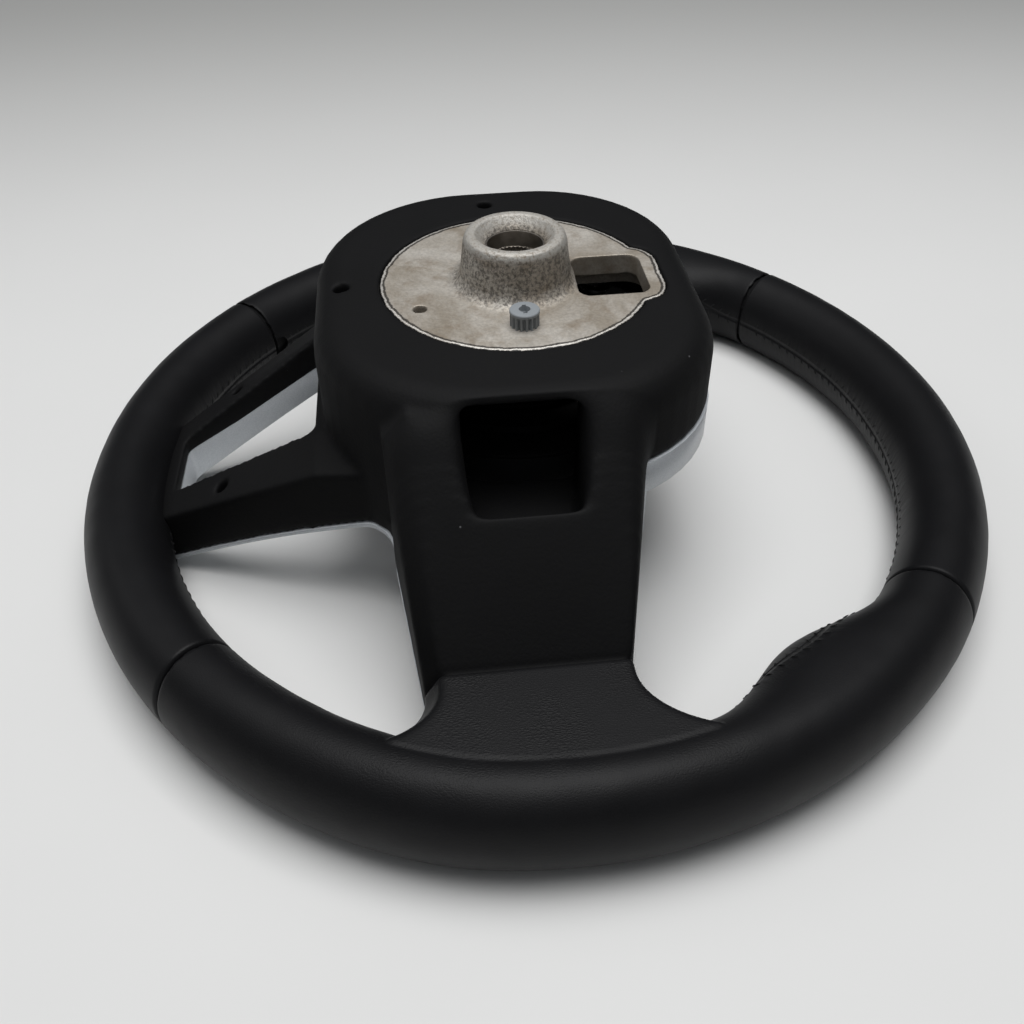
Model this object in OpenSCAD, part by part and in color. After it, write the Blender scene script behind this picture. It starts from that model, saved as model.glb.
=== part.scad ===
// Leather-covered car steering wheel with a cast hub, lying on the front of its rim.
// Heights are measured from the front of the rim, +Y points to twelve o'clock,
// and +Z points away from the driver, along the steering column.

/* [Rim] */
// Outer radius of the rim
rim_r = 185; // [180:0.5:190]
// Width of the grip, measured across the rim
grip_w = 31.7; // [30:0.1:34]
// Depth of the grip, from front to back
grip_d = 38.6; // [36:0.1:41]
// How far the bottom of the rim is flattened
flat_drop = 12; // [8:0.5:16]
// Angle from twelve o'clock at which the flattening starts
flat_from = 95; // [90:1:100]
// Radius of the two corners beside the flattened bottom
corner_r = 130; // [120:1:138]
// Thickness of the leather
leather_t = 1.4; // [1:0.1:2]
// Gap between neighbouring leather sections, where the seam sits
seam_gap = 0.5; // [0.3:0.1:1]
// Angle of the upper seams from twelve o'clock
upper_seam = 38; // [34:1:42]
// Angle of the lower seams from six o'clock
lower_seam = 39; // [36:0.5:42]
// Angle of the thumb rests from twelve o'clock
thumb_at = 57; // [55:1:60]
// How far the thumb rests stand proud of the rim
thumb_out = 12; // [8:0.5:13]

/* [Hub casing] */
// Height of the casing's back face
casing_h = 103.6; // [103.4:0.1:105]
// Half width of the casing, towards the side spokes
casing_x = 81; // [79:0.5:82]
// Reach of the casing towards twelve o'clock
casing_up = 67; // [66.5:0.5:68]
// Reach of the casing towards six o'clock
casing_down = 74; // [72:0.5:75]
// Rounding of the casing's back edge
casing_round = 11; // [8:0.5:13]
// Height at which the casing meets the trim
parting_h = 72.5; // [71:0.5:75]
// Radius of the hollow for the airbag module
cavity_r = 62; // [61:0.5:63]
// Thickness of the foam over the casting's back plate
foam_back = 7; // [5:0.5:8]
// Diameter of the airbag release holes
release_d = 6; // [4:0.5:7]

/* [Hub casting] */
// How far the boss stands out from the bare disc
boss_out = 18; // [15:0.5:21]
// Outer radius of the boss at its end
boss_r = 18.3; // [17:0.1:19.5]
// Radius of the bare disc in the middle of the back plate
disc_r = 49.5; // [47:0.5:51]
// Height of the bare disc
disc_h = 103; // [101.5:0.1:103.2]
// Thickness of the back plate
plate_t = 7; // [6:0.5:9]
// Radius of the back plate under the foam
plate_r = 58; // [56:0.5:60]
// Width of the cable window
window_w = 29; // [26:0.5:31]
// Height of the cable window
window_h = 26; // [22:0.5:28]
// Depth of the cable window's wall
window_d = 8; // [6:0.5:10]
// Diameter of the tapped hole in the bare disc
plate_hole_d = 5; // [4:0.5:6]
// Width of the casting's core inside the rim
core_w = 11; // [9:0.5:14]
// Depth of the casting's core inside the rim
core_d = 13; // [10:0.5:16]
// Width of one leg of the casting
leg_w = 6; // [5:0.5:6.5]

/* [Column bore] */
// Radius of the pilot bore
pilot_r = 10; // [9.5:0.1:10.5]
// Length of the pilot bore
pilot_l = 6; // [4:0.5:8]
// Depth of the lead-in cone above the pilot bore
lead_in = 4.5; // [3:0.5:6]
// Number of splines
splines = 40; // [30:1:48]
// Depth of the splines
spline_d = 0.8; // [0.5:0.1:1]
// Length of the splined stretch
spline_l = 14; // [10:0.5:16]
// Wall of the splined insert
insert_t = 3; // [2.5:0.1:3.4]

/* [Side spokes] */
// Distance from the bore to the edge of the spoke's leather
leather_from = 128; // [124:0.5:131]
// Height of the spoke's back at the leather
spoke_h = 38; // [37:0.1:38.4]
// Distance from the bore to the top of the spoke's sloping back
back_x = 79; // [77:0.5:80]
// Height of the top of that slope
back_h = 98.5; // [97:0.5:99]
// Distance from the bore to the far edge of the opening for the shift paddle
paddle_x = 98; // [96:0.5:99]
// Width of the opening for the shift paddle
paddle_w = 34; // [30:0.5:36]
// Corner radius of the opening for the shift paddle
paddle_round = 4; // [2:0.5:6]
// How far the leather flares out on its way into the rim
root_flare = 38; // [30:0.5:44]

/* [Lower spoke] */
// Half width of the lower spoke at the rim
fork_rim = 30; // [28:0.5:33]
// Half width of the lower spoke at the hub
fork_hub = 53.5; // [52:0.5:56]
// Half width of the window at the rim
gap_rim = 17; // [15:0.5:18]
// Half width of the window at the hub
gap_hub = 31.5; // [29:0.5:32]
// Height of the lower spoke's back where it meets the casing
fork_h = 65; // [64:0.5:66]
// Half distance between the screws of the lower spoke
screw_x = 31.5; // [30.5:0.5:32.5]
// Distance from the bore to those screws
screw_y = 114.5; // [112:0.5:117]
// Diameter of the screw's access hole
access_d = 5; // [4.5:0.5:5.5]

/* [Front trim] */
// Slope of the spokes' front, in degrees
dish_a = 30.5; // [29.5:0.5:31]
// Distance from the bore at which the front is dish_h high
dish_r = 142; // [140:1:144]
// Height of the spokes' front there
dish_h = 6; // [5:0.5:7]
// Thickness of the trim
trim_t = 1.5; // [1.3:0.1:2]
// Height of the front edge of the trim's ring at twelve o'clock of the hub
lip_h = 60; // [58:0.5:63]
// Running clearance between moving pieces
gap = 0.4; // [0.3:0.05:0.5]

/* [Airbag module] */
// Height of the middle of the horn pad
pad_h = 19; // [16:0.5:24]
// Thickness of the horn pad's shell
pad_t = 3; // [2.5:0.1:3.5]
// Travel of the horn pad
horn_travel = 2.5; // [1.5:0.1:3]
// Space between the wall of the horn pad and the airbag can
can_gap = 10.5; // [8:0.5:13]
// Thickness of the can's sheet
can_t = 1.5; // [1.2:0.1:2]
// Radius of the gas generator
inflator_r = 31; // [28:0.5:34]
// Wire thickness of the horn springs
wire_d = 1.4; // [1.2:0.1:1.6]
// Mean radius of the horn springs
coil_r = 5; // [4.5:0.1:5.5]

/* [Switches] */
// Length of a switch pod, along the spoke
pod_l = 42; // [40:0.5:43]
// Width of a switch pod, across the spoke
pod_w = 58; // [56:0.5:60]
// Depth of a switch pod
pod_d = 9; // [8:0.25:9.5]
// Travel of a key
key_travel = 0.8; // [0.5:0.1:1]
// How far the keys stand proud of the pod
key_proud = 1.6; // [1.4:0.1:2]

/* [Hidden] */
$fn = 96;
eps = 0.01;
far = 220;

// Rim path: one large arc, two corners and a flatter arc at the bottom
oval_n = 16;
sweep_n = 60;
arc_n = 12;
rim_c = rim_r - grip_w / 2;
low_y = rim_c - flat_drop;
flat_a = 90 - flat_from;
corner_x = (rim_c - corner_r) * cos(flat_a);
corner_y = (rim_c - corner_r) * sin(flat_a);
low_c = (pow(rim_c - corner_r, 2) - pow(low_y - corner_r, 2)) / (2 * (low_y - corner_r + corner_y));
low_r = low_c + low_y;
low_a = atan2(corner_y - low_c, corner_x);
fork_end = rim_r - flat_drop - grip_w + 3.2;
thumb_span = 17;

// Heights and places round the hub
boss_h = disc_h + boss_out;
datum_h = boss_h - lead_in - pilot_l / 2;
plate_top = casing_h - foam_back;
plate_low = plate_top - plate_t;
boss_flare = 2.3;
boss_low = plate_low - 6;
lip_r = boss_r - 4;
window_c = [2, 34.5];
window_round = 5;
window_wall = 6;
plate_hole_at = [18, -35.6];
peg_at = [33, -0.4];
peg_r = 5.2;
peg_h = 6;
peg_stem_r = 3.2;
release_at = [[-0.5, -63.4], [-61.8, -6]];
spoke_c = -6;
up_r = 56;
down_r = 62;
opening_c = -7;
chamfer = 9;
paddle_low = 58;
leg_at = [-36.5, 17.5];
insert_r = pilot_r + insert_t;
insert_low = boss_h - lead_in - pilot_l - spline_l;
bolt_r = 6.5;

// Screws and pods
screw_shaft = 1.8;
screw_head = 2.3;
screw_h = 30;
screw_boss = 25;
pod_x = 103;
pod_y = -8;
pod_frame = 2;
pod_lip = 2.6;
pod_floor = 2;
key_low = pod_d - pod_floor - key_travel - 2.2;
pad_r = cavity_r - 1.5;
can_r = pad_r - pad_t - can_gap;
pad_back = 66;
can_front = 36;
can_back = 70;
gas_front = 52;
gas_back = 79;
flange_r = (inflator_r + can_r) / 2 - 2;
shoulder_h = 78;
shoulder_r = 6.3;
pin_top = plate_top - horn_travel - 1.6;
pod_h = dish_h + (dish_r - pod_x) * tan(dish_a);
key_x = pod_l / 2 - pod_frame - gap;
key_y = pod_w / 2 - pod_frame - gap;
mid_y = 13.6;
split_x = 3.2;
rocker_x = (split_x + 2 * gap + 0.4 + key_x) / 2;
rocker_pin = 1.2;
key_top = -pod_lip - key_proud;
spring_at = pad_r - 8.5;
spring_angles = [45, 135, 270];
spring_turns = 4;
pin_r = 2.5;

// Height of the spokes' front at a distance from the bore
function dish(r) = dish_h + (dish_r - r) * tan(dish_a);

// Moves the front-of-rim heights down to the origin in the pilot bore
module placed() {
    translate([0, 0, -datum_h]) children();
}

// Repeats what is on the +X side on both sides
module both_sides() {
    for (s = [0, 1]) mirror([s, 0, 0]) children();
}

// Extrudes a profile drawn in X and height along Y
module along_y(low, high) {
    translate([0, high, 0]) rotate([90, 0, 0]) linear_extrude(high - low) children();
}

// Extrudes a profile drawn in Y and height along X
module along_x(low, high) {
    translate([low, 0, 0]) rotate([90, 0, 90]) linear_extrude(high - low) children();
}

// Everything in front of the spokes' front, moved back by lift
module front_cut(lift) {
    rotate_extrude($fn = sweep_n) polygon([
        [0, -far], [far, -far], [far, dish(far) + lift], [0, dish(0) + lift]
    ]);
}

// Point of the rim's path whose outward direction is a
function path(a) =
    a > 180 - flat_a && a < 180 - low_a ? [corner_r * cos(a) - corner_x, corner_r * sin(a) + corner_y]
    : a >= 180 - low_a && a <= 360 + low_a ? [low_r * cos(a), low_r * sin(a) + low_c]
    : a > 360 + low_a || a < flat_a ? [corner_r * cos(a) + corner_x, corner_r * sin(a) + corner_y]
    : [rim_c * cos(a), rim_c * sin(a)];
// Share of the thumb rest's swelling at the direction a
function thumb(a) =
    let (off = min(abs(a - 90 + thumb_at), abs(a - 90 - thumb_at)) / thumb_span)
    off < 1 ? pow(cos(90 * off), 2) : 0;
// Points of the grip's section at the direction a, drawn in by inset
function ring(a, inset) = [
    for (k = [0:oval_n - 1]) let (
        f = k * 360 / oval_n,
        x = (grip_w / 2 - inset + (cos(f) < 0 ? thumb_out * thumb(a) : 0)) * cos(f)
    ) [path(a).x + x * cos(a), path(a).y + x * sin(a), grip_d / 2 + (grip_d / 2 - inset) * sin(f)]
];
// Wall faces between n neighbouring rings of m points each, the last joined to the first when closed
function walls(n, m, closed) = [
    for (i = [0:n - (closed ? 1 : 2)], k = [0:m - 1]) let (j = (i + 1) % n, l = (k + 1) % m)
        each [[i * m + k, i * m + l, j * m + l], [i * m + k, j * m + l, j * m + k]]
];
// Cap faces of n rings of m points each
function ends(n, m) = [[for (k = [1:m]) m - k], [for (k = [0:m - 1]) (n - 1) * m + k]];
// Every angle at which the rim gets a ring
function stops(from, to) = let (n = ceil((to - from) / 6)) [for (i = [0:n]) from + (to - from) * i / n];

// Solid rim with its thumb rests, drawn in from its surface by inset
module rim_solid(inset) {
    polyhedron([for (i = [0:59]) each ring(flat_a + 6 * i, inset)], walls(60, oval_n, true));
}

// Square core inside the rim
module core_form() {
    polyhedron(
        [for (i = [0:59], c = [[1, -1], [1, 1], [-1, 1], [-1, -1]])
            let (a = flat_a + 6 * i, x = c.x * core_w / 2)
            [path(a).x + x * cos(a), path(a).y + x * sin(a), (grip_d + c.y * core_d) / 2]],
        walls(60, 4, true)
    );
}

// Solid stretch of the rim between two directions
module rim_stretch(from, to, inset) {
    at = stops(from, to);
    n = len(at);
    polyhedron([for (a = at) each ring(a, inset)], concat(walls(n, oval_n, false), ends(n, oval_n)));
}

// Leather tube between two directions
module rim_tube(from, to) {
    at = stops(from, to);
    n = len(at);
    skin = n * oval_n;
    polyhedron([for (t = [0, leather_t], a = at) each ring(a, t)], concat(
        walls(n, oval_n, false),
        [for (w = walls(n, oval_n, false)) [for (k = [2:-1:0]) w[k] + skin]],
        [for (k = [0:oval_n - 1]) let (m = (k + 1) % oval_n) [m, k, k + skin, m + skin]],
        [for (k = [0:oval_n - 1]) let (m = (k + 1) % oval_n, e = (n - 1) * oval_n) [e + k, e + m, e + m + skin, e + k + skin]]
    ));
}

// Outline of a side spoke
module spoke_plan() {
    polygon([
        [20, spoke_c - 46], [back_x, spoke_c - 45], [leather_from, spoke_c - 38], [rim_c, spoke_c - 36],
        [rim_c, spoke_c + 28], [leather_from, spoke_c + 29], [back_x, spoke_c + 40.5], [20, spoke_c + 54]
    ]);
}

// Section of the leather's run into the rim, at the share u of its length, drawn in by inset
function root_ring(u, inset) =
    let (
        v = max(0, u - 0.1) / 0.9,
        flare = root_flare * v * v,
        low = inset + 6 * v,
        wide = [spoke_c - 38 - flare + inset, spoke_c + 29 + flare - inset],
        slim = [spoke_c - 32.5 - flare + 4 * v + inset, spoke_c + 28.5 + flare - 4 * v - inset],
        side = spoke_h - chamfer - inset,
        points = concat(
            [[wide[0], side]],
            [for (k = [0:4]) [slim[0] + (slim[1] - slim[0]) * k / 4, spoke_h - inset]],
            [[wide[1], side]],
            [for (k = [0:4]) [wide[1] + (wide[0] - wide[1]) * k / 4, low]]
        )
    ) [for (p = points) [leather_from + u * (sqrt(rim_c * rim_c - p.x * p.x) - 1 - leather_from), p.x, p.y]];

// Leather's run from a side spoke into the rim, drawn in from its surface by inset
module spoke_root(inset) {
    n = 6;
    m = 12;
    cap = concat([[0, 1, 11], [5, 6, 7]], [for (k = [1:4]) each [[k, k + 1, 12 - k], [k + 1, 11 - k, 12 - k]]]);
    difference() {
        polyhedron([for (i = [0:n - 1]) each root_ring(i / (n - 1), inset)], concat(
            walls(n, m, false),
            [for (c = cap) [c[2], c[1], c[0]]],
            [for (c = cap) [for (k = c) m * n - m + k]]
        ));
        front_cut(inset);
    }
}

// Side view of a side spoke, from the casing out to the leather, lowered by drop
module spoke_profile(drop) {
    polygon([
        [20, 0], [leather_from, 0], [leather_from, spoke_h - drop], [back_x, back_h - drop], [20, back_h - drop]
    ]);
}

// Solid form of a side spoke, with its two long edges chamfered
module spoke_form() {
    hull() {
        intersection() {
            linear_extrude(casing_h) spoke_plan();
            along_y(-far, far) spoke_profile(chamfer);
        }
        intersection() {
            linear_extrude(casing_h) spoke_back_plan();
            along_y(-far, far) spoke_profile(0);
        }
    }
}

// Outline of the flat back of a side spoke, between its chamfers
module spoke_back_plan() {
    polygon([
        [20, spoke_c - 37.5], [back_x, spoke_c - 37], [leather_from, spoke_c - 32.5],
        [leather_from, spoke_c + 28.5], [back_x, spoke_c + 35.5], [20, spoke_c + 37]
    ]);
}

// Outline of the opening for the shift paddle
module paddle_plan() {
    r = paddle_round;
    hull() for (p = [
        [50, opening_c - paddle_w / 2 - 4 + r], [paddle_x - r, opening_c - paddle_w / 2 + r],
        [paddle_x - r, opening_c + paddle_w / 2 + 1.5 - r], [50, opening_c + paddle_w / 2 + 4.5 - r]
    ]) translate(p) circle(r = r, $fn = 32);
}

// Outline of the lower spoke, and of the raised middle of its back
module fork_plan(grow = 0) {
    both_sides() polygon([
        [0, -fork_end - grow], [fork_rim - 4 + grow, -fork_end - grow], [fork_rim + grow, 4 - fork_end - grow],
        [fork_hub + grow, -casing_down - 3], [fork_hub + 8.5 + grow, -casing_down + 22], [fork_hub, -30], [0, -30]
    ]);
}
module fork_ridge_plan() {
    both_sides() polygon([
        [0, -fork_end], [gap_rim + 2, -fork_end], [gap_hub + 2, -casing_down - 3], [gap_hub + 12, -casing_down + 22], [0, -30]
    ]);
}

// Outline of the window in the lower spoke
module gap_plan(grow) {
    hull() both_sides() for (p = [[gap_rim - 3, 11 - fork_end], [gap_hub - 3, -casing_down - 6]])
        translate(p) circle(r = grow + 3, $fn = 32);
}

// Back of the lower spoke in side view, lowered by drop, which grows towards the hub
module fork_profile(drop) {
    polygon([
        [-low_y, -40], [-30, -40], [-30, fork_h + 6 - drop], [-50, fork_h + 5 - drop], [-77, fork_h - drop],
        [-screw_y, fork_h - 23.5 - drop * 0.4], [-fork_end, fork_h - 40.3], [-low_y, fork_h - 46]
    ]);
}

// Side view of the trim's frame in the window, raised by lift
module frame_profile(lift) {
    polygon([
        [-low_y, -40], [-30, -40], [-30, fork_h - 6 + lift], [-77, fork_h - 13 + lift],
        [-screw_y, fork_h - 32 + lift], [-fork_end, fork_h - 45.3 + lift], [-low_y, fork_h - 51 + lift]
    ]);
}

// Solid form of the lower spoke, whose back falls away to both sides
module fork_form() {
    hull() {
        intersection() {
            linear_extrude(casing_h) fork_plan();
            along_x(-far, far) fork_profile(4.5);
        }
        intersection() {
            linear_extrude(casing_h) fork_ridge_plan();
            along_x(-far, far) fork_profile(0);
        }
    }
}

// Corner points of the hub casing's outline, drawn in by inset
function casing_points(inset) = [
    for (k = [0:3], i = [0:arc_n]) let (
        a = 90 * k + i * 90 / arc_n,
        r = k < 2 ? up_r : down_r,
        c = [casing_x - r, k < 2 ? casing_up - r : r - casing_down]
    ) [(k == 0 || k == 3 ? c.x : -c.x) + (r - inset) * cos(a), c.y + (r - inset) * sin(a)]
];

// Solid form of the hub casing, with its rounded back edge
module casing_form(low) {
    round_n = 5;
    m = 4 * (arc_n + 1);
    polyhedron(
        [for (i = [-1:round_n], p = casing_points(i < 0 ? 0 : casing_round * (1 - cos(i * 90 / round_n))))
            [p.x, p.y, i < 0 ? low : casing_h - casing_round * (1 - sin(i * 90 / round_n))]],
        concat([for (w = walls(round_n + 2, m, false)) [for (k = [2:-1:0]) w[k]]],
            [for (e = ends(round_n + 2, m)) [for (k = [m - 1:-1:0]) e[k]]])
    );
}

// Outline of the bare disc, with the bulge round the cable window
module disc_plan() {
    circle(r = disc_r);
    window_plan(window_wall);
}

// Outline of the cable window, grown by a wall
module window_plan(grow) {
    translate(window_c) offset(r = grow + window_round, $fn = 32)
        square([window_w - 2 * window_round, window_h - 2 * window_round], center = true);
}

// Two legs of the casting inside a side spoke
module side_legs() {
    for (y = leg_at) along_y(y - leg_w / 2, y + leg_w / 2) polygon([
        [40, plate_top - 0.5], [plate_r + 2, plate_top - 3], [back_x + 12, back_h - 26], [leather_from, spoke_h - 6.5],
        [rim_c, grip_d / 2 + 4], [rim_c, grip_d / 2 - 4], [leather_from, 25], [back_x + 12, 58],
        [plate_r - 4, plate_low - 3], [40, plate_low + 0.5]
    ]);
}

// Legs of the casting inside the two arms of the lower spoke
module lower_legs() {
    both_sides() intersection() {
        linear_extrude(casing_h) polygon([
            [48 - leg_w / 2, -20], [48 + leg_w / 2, -20], [42 + leg_w / 2, -76], [23.5 + leg_w / 2, -143],
            [23.5 + leg_w / 2, -low_y], [23.5 - leg_w / 2, -low_y], [23.5 - leg_w / 2, -143], [42 - leg_w / 2, -76]
        ]);
        along_x(0, far) polygon([
            [-20, plate_top - 0.5], [-56, plate_top - 0.5], [-58, plate_top - 5], [-61, fork_h - 4], [-76, fork_h - 14],
            [-screw_y, 33], [-142, 21.5], [-low_y, 21], [-low_y, 15], [-142, 14.5], [-screw_y - 6, 26],
            [-screw_y, 26.5], [-76, 45], [-50, 58], [-48, plate_low - 3], [-20, plate_low + 0.5]
        ]);
    }
}

// Outer form of the hub casting, without its holes
module casting_form() {
    translate([0, 0, plate_low]) cylinder(h = plate_t, r = plate_r);
    translate([0, 0, plate_low]) linear_extrude(disc_h - plate_low) disc_plan();
    rotate_extrude() polygon([
        [0, boss_low], [boss_r + boss_flare, boss_low], [boss_r + boss_flare + 4, plate_low],
        [boss_r + boss_flare + 4, disc_h], [boss_r + boss_flare + 1.2, disc_h + 1], [boss_r + boss_flare - 0.4, disc_h + 3.5],
        [boss_r + 0.4, boss_h - 3], [boss_r, boss_h - 1.6], [boss_r - 0.6, boss_h - 0.5], [boss_r - 1.8, boss_h], [0, boss_h]
    ]);
    both_sides() side_legs();
    lower_legs();
}

// Places a switch pod's own frame on the front of the +X spoke: -Z is out of the front
module on_pod() {
    translate([pod_x, pod_y, pod_h]) rotate([0, dish_a, 0]) children();
}

// Plate of the switch pod, seen from the front
module pod_plan(inset) {
    offset(r = 6 - inset, $fn = 48) square([pod_l - 12, pod_w - 12], center = true);
}

module armature() {
    color("#b3aca2") placed() difference() {
        casting_form();
        core_form();
        translate([0, 0, boss_low - eps]) cylinder(h = insert_low - boss_low + 2 * eps, r = bolt_r);
        translate([0, 0, insert_low]) cylinder(h = boss_h - lead_in - insert_low, r = insert_r);
        translate([0, 0, boss_h - lead_in - eps]) cylinder(h = lead_in + 2 * eps, r1 = pilot_r + 0.3, r2 = lip_r);
        translate([0, 0, plate_low - 1]) linear_extrude(3 * plate_t) window_plan(0);
        translate([0, 0, plate_low - 1]) linear_extrude(disc_h - window_d - plate_low + 1) window_plan(3);
        translate([plate_hole_at.x, plate_hole_at.y, plate_low - 1]) cylinder(h = 3 * plate_t, d = plate_hole_d);
        translate([peg_at.x, peg_at.y, plate_low - 1]) cylinder(h = 3 * plate_t, r = peg_stem_r);
        for (a = spring_angles) rotate([0, 0, a]) translate([spring_at, 0, plate_low - 1])
            cylinder(h = plate_t - 0.1, r = pin_r + gap);
        both_sides() translate([screw_x, -screw_y, 0]) {
            translate([0, 0, screw_h]) cylinder(h = 20, d = access_d);
            cylinder(h = screw_h + 1, r = screw_shaft + 0.1);
        }
    }
}

module rim_core() {
    color("#a8a49c") placed() core_form();
}

module splined_insert() {
    tooth = 360 / splines;
    color("#6d6a66") placed() difference() {
        translate([0, 0, insert_low]) cylinder(h = boss_h - lead_in - insert_low, r = insert_r);
        translate([0, 0, insert_low - 1]) linear_extrude(boss_h) polygon([
            for (i = [0:splines - 1], k = [0:3])
                (k < 2 ? pilot_r - spline_d : pilot_r - 0.15)
                    * [cos((i + k / 4 + 0.1) * tooth), sin((i + k / 4 + 0.1) * tooth)]
        ]);
        translate([0, 0, insert_low + spline_l]) cylinder(h = boss_h, r = pilot_r);
    }
}

module foam_body() {
    $fn = 48;
    color("#1c1d1f") placed() difference() {
        union() {
            both_sides() {
                spoke_root(leather_t);
                spoke_form();
            }
            fork_form();
            difference() {
                casing_form(0);
                translate([-far, 0, -1]) cube([2 * far, far, parting_h + 1]);
            }
            linear_extrude(fork_h - 17) intersection() {
                offset(delta = -0.3) trim_plan();
                circle(r = 88);
            }
        }
        translate([0, 0, -1]) cylinder(h = plate_low + 1.5, r = cavity_r);
        translate([0, 0, plate_top - 1]) linear_extrude(foam_back + 2) disc_plan();
        front_cut(trim_t);
        ring_form(parting_h + 0.1);
        both_sides() {
            translate([0, 0, paddle_low]) linear_extrude(plate_top - 1 - paddle_low) paddle_plan();
            intersection() {
                translate([0, 0, paddle_low]) linear_extrude(casing_h - 4 - paddle_low) paddle_plan();
                translate([plate_r + 11, -far, 0]) cube([far, 2 * far, far]);
            }
        }
        linear_extrude(casing_h) gap_plan(0);
        intersection() {
            linear_extrude(casing_h) gap_plan(trim_t);
            along_x(-far, far) frame_profile(0);
        }
        for (p = release_at) translate([p.x, p.y, plate_low - 8]) cylinder(h = 30, d = release_d);
        both_sides() translate([screw_x, -screw_y, 0]) {
            translate([0, 0, screw_h]) cylinder(h = 20, d = access_d);
            cylinder(h = screw_h + 1, r = screw_shaft + 0.1);
            cylinder(h = screw_boss, r = 2 * screw_shaft + 0.2);
        }
        both_sides() on_pod() translate([0, 0, -5]) linear_extrude(pod_d + 5) pod_plan(-0.2);
        casting_form();
        rim_solid(leather_t);
    }
}

module rim_foam() {
    color("#1c1d1f") placed() difference() {
        rim_solid(leather_t);
        core_form();
        both_sides() side_legs();
        lower_legs();
    }
}

module leather_top() {
    color("#1a1b1d") placed() rim_tube(90 - upper_seam, 90 + upper_seam);
}

module leather_bottom() {
    color("#1a1b1d") placed() difference() {
        rim_tube(270 - lower_seam, 270 + lower_seam);
        translate([0, 0, dish(fork_end)]) linear_extrude(casing_h) fork_plan(seam_gap);
    }
}

// Leather from the lower seam to the upper seam on the +X side, with its run into the spoke
module side_leather() {
    gap_a = seam_gap / rim_r * 57.3;
    from = lower_seam - 90 + gap_a;
    to = 90 - upper_seam - gap_a;
    difference() {
        union() {
            rim_stretch(from, to, 0);
            spoke_root(0);
        }
        rim_stretch(from - 1, to + 1, leather_t);
        spoke_root(leather_t);
    }
}

module leather_left() {
    color("#1a1b1d") placed() side_leather();
}

module leather_right() {
    color("#1a1b1d") placed() mirror([1, 0, 0]) side_leather();
}

// Outline of the trim's sheet seen from the front
module trim_plan() {
    offset(r = -14, $fn = 48) offset(r = 14, $fn = 48) {
        both_sides() intersection() {
            spoke_plan();
            translate([0, -far]) square([leather_from - 0.5, 2 * far]);
        }
        intersection() {
            fork_plan();
            translate([-far, 1 - fork_end]) square([2 * far, far]);
        }
        intersection() {
            polygon(casing_points(0));
            translate([-far, -far]) square([2 * far, far]);
        }
    }
}

// Outline of the trim's ring at twelve o'clock of the hub, grown by grow
module ring_plan(grow) {
    intersection() {
        polygon(casing_points(-grow));
        translate([-far, 0]) square([2 * far, far]);
    }
}

// Trim's ring at twelve o'clock up to a height, with the two posts that join it to the sheet
module ring_form(top) {
    difference() {
        union() {
            translate([0, 0, lip_h]) linear_extrude(top - lip_h) ring_plan(0.5);
            linear_extrude(lip_h + 1) intersection() {
                ring_plan(0);
                both_sides() offset(delta = 1) spoke_plan();
            }
        }
        front_cut(0);
        both_sides() translate([0, 0, -1]) linear_extrude(casing_h) offset(delta = -1.5) spoke_plan();
    }
}

module bezel() {
    color("#b9c0c5") placed() difference() {
        union() {
            intersection() {
                linear_extrude(parting_h) trim_plan();
                front_cut(trim_t);
            }
            ring_form(parting_h);
            intersection() {
                linear_extrude(casing_h) gap_plan(trim_t);
                along_x(-far, far) frame_profile(-gap / 2);
            }
            both_sides() translate([screw_x, -screw_y, 0]) cylinder(h = screw_boss - gap, r = 2 * screw_shaft);
        }
        front_cut(0);
        linear_extrude(casing_h) gap_plan(0);
        translate([0, 0, -eps]) cylinder(h = casing_h, r = cavity_r);
        both_sides() on_pod() translate([0, 0, -5]) linear_extrude(pod_d + 5) pod_plan(-0.2);
        both_sides() translate([screw_x, -screw_y, dish(screw_y + 4) + trim_t]) cylinder(h = casing_h, r = screw_shaft + 0.03);
    }
}

module bezel_screws() {
    color("#3b3d40") placed() both_sides() translate([screw_x, -screw_y, 0]) difference() {
        union() {
            translate([0, 0, screw_boss - 3]) cylinder(h = screw_h - screw_boss + 3.5, r = screw_shaft);
            translate([0, 0, screw_h]) cylinder(h = 2, r = screw_head);
        }
        translate([0, 0, screw_h + 0.8]) cylinder(h = 2, r = 1.2, $fn = 6);
    }
}

module guide_peg() {
    ribs = 16;
    color("#7d8286") placed() translate([peg_at.x, peg_at.y, 0]) difference() {
        union() {
            translate([0, 0, plate_low]) cylinder(h = disc_h - plate_low + 1, r = peg_stem_r - 0.05);
            translate([0, 0, disc_h]) linear_extrude(peg_h - 1.2) polygon([
                for (i = [0:ribs - 1], k = [0:3])
                    (k < 2 ? peg_r - 0.1 : peg_r - 1.3) * [cos((i + k / 4) * 360 / ribs), sin((i + k / 4) * 360 / ribs)]
            ]);
            translate([0, 0, disc_h + peg_h - 1.2]) cylinder(h = 0.9, r = peg_r);
            translate([0, 0, disc_h + peg_h - 0.3]) cylinder(h = 0.3, r1 = peg_r, r2 = peg_r - 0.3);
        }
        translate([0, 0, disc_h + 1.5]) cylinder(h = peg_h, r = 2);
        translate([-2.8, -0.7, disc_h + peg_h - 2.5]) cube([5.6, 1.4, 3]);
    }
}

module horn_pad() {
    color("#202124") placed() rotate_extrude() polygon([
        [0, pad_h], [20, pad_h + 1], [40, pad_h + 4.5], [pad_r - 6.5, pad_h + 12.5], [pad_r - 1.5, pad_h + 22],
        [pad_r, pad_h + 31], [pad_r, pad_back], [pad_r - pad_t, pad_back], [pad_r - pad_t, pad_h + 31.5],
        [pad_r - pad_t - 1.6, pad_h + 23.5], [pad_r - pad_t - 6, pad_h + 15], [39, pad_h + 4.5 + pad_t],
        [20, pad_h + 1 + pad_t], [0, pad_h + pad_t]
    ]);
}

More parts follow.
